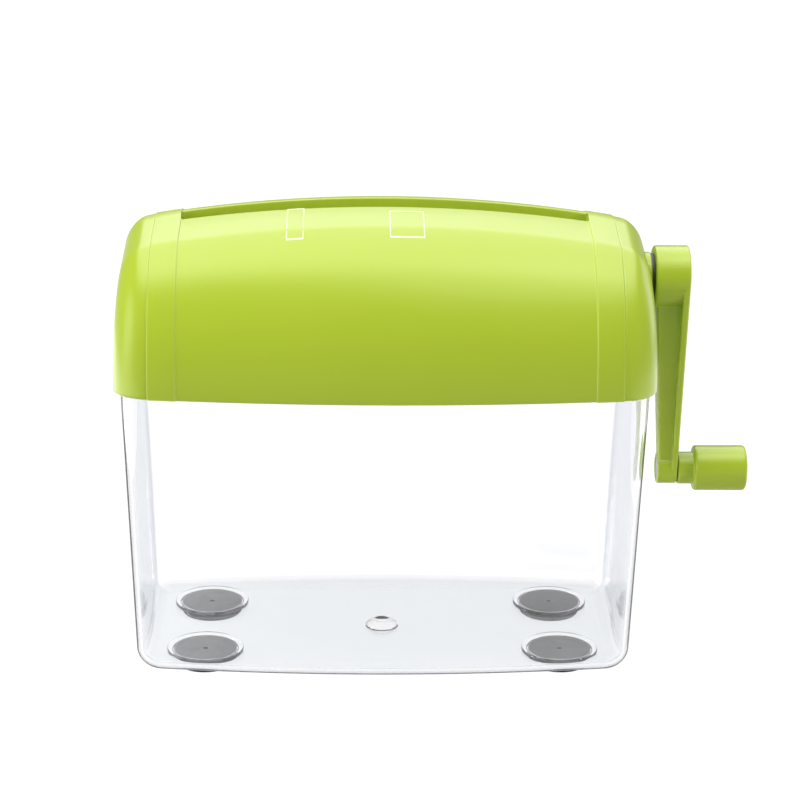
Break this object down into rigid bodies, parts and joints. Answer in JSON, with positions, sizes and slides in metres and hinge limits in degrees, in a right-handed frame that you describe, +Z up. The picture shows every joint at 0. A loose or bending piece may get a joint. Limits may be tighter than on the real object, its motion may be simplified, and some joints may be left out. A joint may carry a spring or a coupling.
{
  "type": "hand-cranked paper shredder",
  "caption": "Desk shredder turned by hand: domed lime-green head with a paper slot and side crank, lifting off a clear waste bin on rubber feet.",
  "frame": {"origin": "centre of the overall box, from the head's left side to the crank grip's end, on the ground plane under the feet", "axes": "+X to the right, towards the crank and along its axis; -Y to the front; +Z up"},
  "size_m": [0.24, 0.114, 0.176],
  "materials": {
    "lime_plastic": "satin gloss lime-green moulding, very slightly mottled",
    "clear_plastic": "clear polished crystal plastic",
    "black_rubber": "matt black rubber",
    "grey_tape": "matt grey adhesive foam disc",
    "black_plastic": "fine-textured black moulding",
    "cutter_steel": "ground and oiled steel",
    "zinc_steel": "zinc-plated sheet steel and screws",
    "white_nylon": "natural white nylon",
    "sintered_bronze": "dull oil-filled sintered bronze"
  },
  "bodies": {
    "bin": {"waste_bin": "clear_plastic", "foot_front_left": "black_rubber", "foot_tape_front_left": "grey_tape", "foot_front_right": "black_rubber", "foot_tape_front_right": "grey_tape", "foot_rear_left": "black_rubber", "foot_tape_rear_left": "grey_tape", "foot_rear_right": "black_rubber", "foot_tape_rear_right": "grey_tape"},
    "head": {"upper_cover": "lime_plastic", "left_end_cap": "lime_plastic", "right_end_cap": "lime_plastic", "lower_chassis": "black_plastic", "cover_screw_1": "zinc_steel", "end_cap_screw_1": "zinc_steel", "cover_screw_2": "zinc_steel", "end_cap_screw_2": "zinc_steel", "cover_screw_3": "zinc_steel", "end_cap_screw_3": "zinc_steel", "cover_screw_4": "zinc_steel", "end_cap_screw_4": "zinc_steel", "left_bearing_plate": "zinc_steel", "front_cutter_left_bush": "sintered_bronze", "rear_cutter_left_bush": "sintered_bronze", "right_bearing_plate": "zinc_steel", "front_cutter_right_bush": "sintered_bronze", "rear_cutter_right_bush": "sintered_bronze", "crank_inner_bush": "sintered_bronze", "crank_outer_bush": "black_plastic", "front_tie_rod": "cutter_steel", "front_stripper_comb": "black_plastic", "rear_tie_rod": "cutter_steel", "rear_stripper_comb": "black_plastic"},
    "front_cutter": {"front_cutter_roller": "cutter_steel", "front_cutter_left_clip": "cutter_steel", "front_cutter_right_clip": "cutter_steel", "front_sync_gear": "white_nylon"},
    "rear_cutter": {"rear_cutter_roller": "cutter_steel", "rear_cutter_left_clip": "cutter_steel", "rear_cutter_right_clip": "cutter_steel", "rear_sync_gear": "white_nylon", "drive_gear": "white_nylon"},
    "crank": {"crank_pinion": "cutter_steel", "crank_shaft": "cutter_steel", "crank_grip_pin": "cutter_steel", "crank_arm": "lime_plastic", "crank_screw": "zinc_steel"},
    "grip": {"crank_grip": "lime_plastic"}
  },
  "joints": [
    {"name": "head_lift", "type": "slide", "parent": "bin", "child": "head", "axis": [0, 0, 1], "range_m": [0, 0.12]},
    {"name": "rear_cutter_spin", "type": "hinge", "parent": "head", "child": "rear_cutter", "pos_m": [-0.02032, 0.0085, 0.13464], "axis": [1, 0, 0], "continuous": true},
    {"name": "front_cutter_spin", "type": "hinge", "parent": "head", "child": "front_cutter", "pos_m": [-0.02032, -0.0085, 0.13464], "axis": [1, 0, 0], "continuous": true},
    {"name": "crank_spin", "type": "hinge", "parent": "head", "child": "crank", "pos_m": [0.07468, 0, 0.147], "axis": [1, 0, 0], "continuous": true},
    {"name": "grip_spin", "type": "hinge", "parent": "crank", "child": "grip", "pos_m": [0.10668, 0, 0.0708], "axis": [1, 0, 0], "continuous": true}
  ],
  "couplings": [
    {"joint": "front_cutter_spin", "follows": "rear_cutter_spin", "ratio": -1},
    {"joint": "crank_spin", "follows": "rear_cutter_spin", "ratio": -1.7273}
  ]
}
